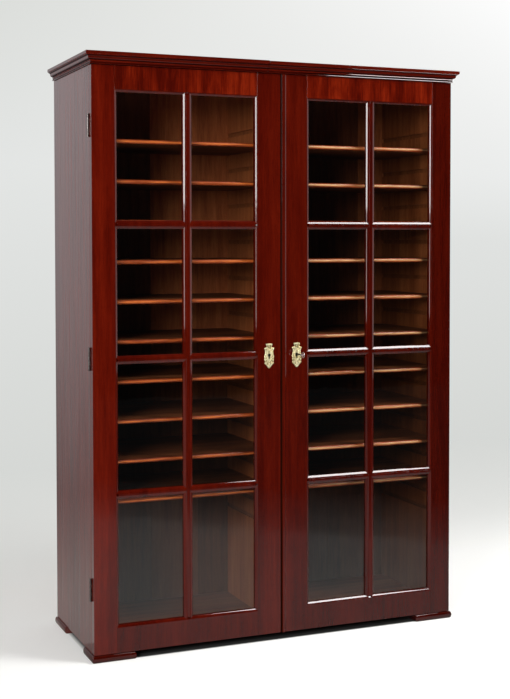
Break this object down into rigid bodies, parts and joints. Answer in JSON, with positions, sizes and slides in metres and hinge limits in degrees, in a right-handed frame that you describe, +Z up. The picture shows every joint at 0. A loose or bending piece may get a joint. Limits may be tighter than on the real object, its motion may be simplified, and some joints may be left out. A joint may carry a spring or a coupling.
{
  "type": "glazed bookcase",
  "caption": "Tall mahogany bookcase with a pair of glazed doors, slotted shelves in two bays, a moulded cornice, low block feet and a lock with its key.",
  "frame": {"origin": "on the floor, under the middle of the bounding box", "axes": "+Z up, +X to the viewer's right, the doors face -Y"},
  "size_m": [1.386, 0.556, 1.9916],
  "materials": {
    "polished_mahogany": "french polished",
    "flamed_mahogany": "french polished",
    "side_mahogany": "french polished",
    "inner_wood": "satin",
    "shelf_wood": "satin",
    "clear_glass": "clear",
    "hinge_iron": "dark, worn",
    "pale_brass": "polished",
    "key_steel": "polished"
  },
  "bodies": {
    "carcass": {"centre_partition": "inner_wood", "top_board": "inner_wood", "bottom_board": "inner_wood", "back_panel": "inner_wood", "cornice": "polished_mahogany", "left_side": "side_mahogany", "front_left_foot": "polished_mahogany", "rear_left_foot": "side_mahogany", "left_shelf_01": "shelf_wood", "left_shelf_02": "shelf_wood", "left_shelf_03": "shelf_wood", "left_shelf_04": "shelf_wood", "left_shelf_05": "shelf_wood", "left_shelf_06": "shelf_wood", "left_shelf_07": "shelf_wood", "left_shelf_08": "shelf_wood", "left_shelf_09": "shelf_wood", "left_shelf_10": "shelf_wood", "left_lower_hinge_carcass_leaf": "hinge_iron", "left_middle_hinge_carcass_leaf": "hinge_iron", "left_upper_hinge_carcass_leaf": "hinge_iron", "right_side": "side_mahogany", "front_right_foot": "polished_mahogany", "rear_right_foot": "side_mahogany", "right_shelf_01": "shelf_wood", "right_shelf_02": "shelf_wood", "right_shelf_03": "shelf_wood", "right_shelf_04": "shelf_wood", "right_shelf_05": "shelf_wood", "right_shelf_06": "shelf_wood", "right_shelf_07": "shelf_wood", "right_shelf_08": "shelf_wood", "right_shelf_09": "shelf_wood", "right_shelf_10": "shelf_wood", "right_lower_hinge_carcass_leaf": "hinge_iron", "right_middle_hinge_carcass_leaf": "hinge_iron", "right_upper_hinge_carcass_leaf": "hinge_iron"},
    "left_door": {"left_door_hinge_stile": "polished_mahogany", "left_door_meeting_stile": "polished_mahogany", "left_door_top_rail": "flamed_mahogany", "left_door_bottom_rail": "polished_mahogany", "left_door_glazing_bars": "polished_mahogany", "left_door_glass": "clear_glass", "left_door_escutcheon": "pale_brass", "left_lower_hinge_door_leaf": "hinge_iron", "left_middle_hinge_door_leaf": "hinge_iron", "left_upper_hinge_door_leaf": "hinge_iron"},
    "right_door": {"right_door_hinge_stile": "polished_mahogany", "right_door_meeting_stile": "polished_mahogany", "right_door_top_rail": "flamed_mahogany", "right_door_bottom_rail": "polished_mahogany", "right_door_glazing_bars": "polished_mahogany", "right_door_glass": "clear_glass", "right_door_escutcheon": "pale_brass", "right_lower_hinge_door_leaf": "hinge_iron", "right_middle_hinge_door_leaf": "hinge_iron", "right_upper_hinge_door_leaf": "hinge_iron", "lock_case": "hinge_iron"},
    "key": {"key": "key_steel"},
    "lock_bolt": {"lock_bolt": "pale_brass"}
  },
  "joints": [
    {"name": "left_door_hinge", "type": "hinge", "parent": "carcass", "child": "left_door", "pos_m": [-0.6738, -0.1854, 0.2355], "axis": [0, 0, -1], "range_deg": [0, 180]},
    {"name": "right_door_hinge", "type": "hinge", "parent": "carcass", "child": "right_door", "pos_m": [0.6738, -0.1854, 0.2355], "axis": [0, 0, 1], "range_deg": [0, 180]},
    {"name": "key_turn", "type": "hinge", "parent": "right_door", "child": "key", "pos_m": [0.057, -0.214, 0.9901], "axis": [0, 1, 0], "range_deg": [0, 360]},
    {"name": "bolt_slide", "type": "slide", "parent": "right_door", "child": "lock_bolt", "axis": [-1, 0, 0], "range_m": [0, 0.01]}
  ],
  "couplings": [
    {"joint": "bolt_slide", "follows": "key_turn", "m_per_rad": 0.00159}
  ]
}
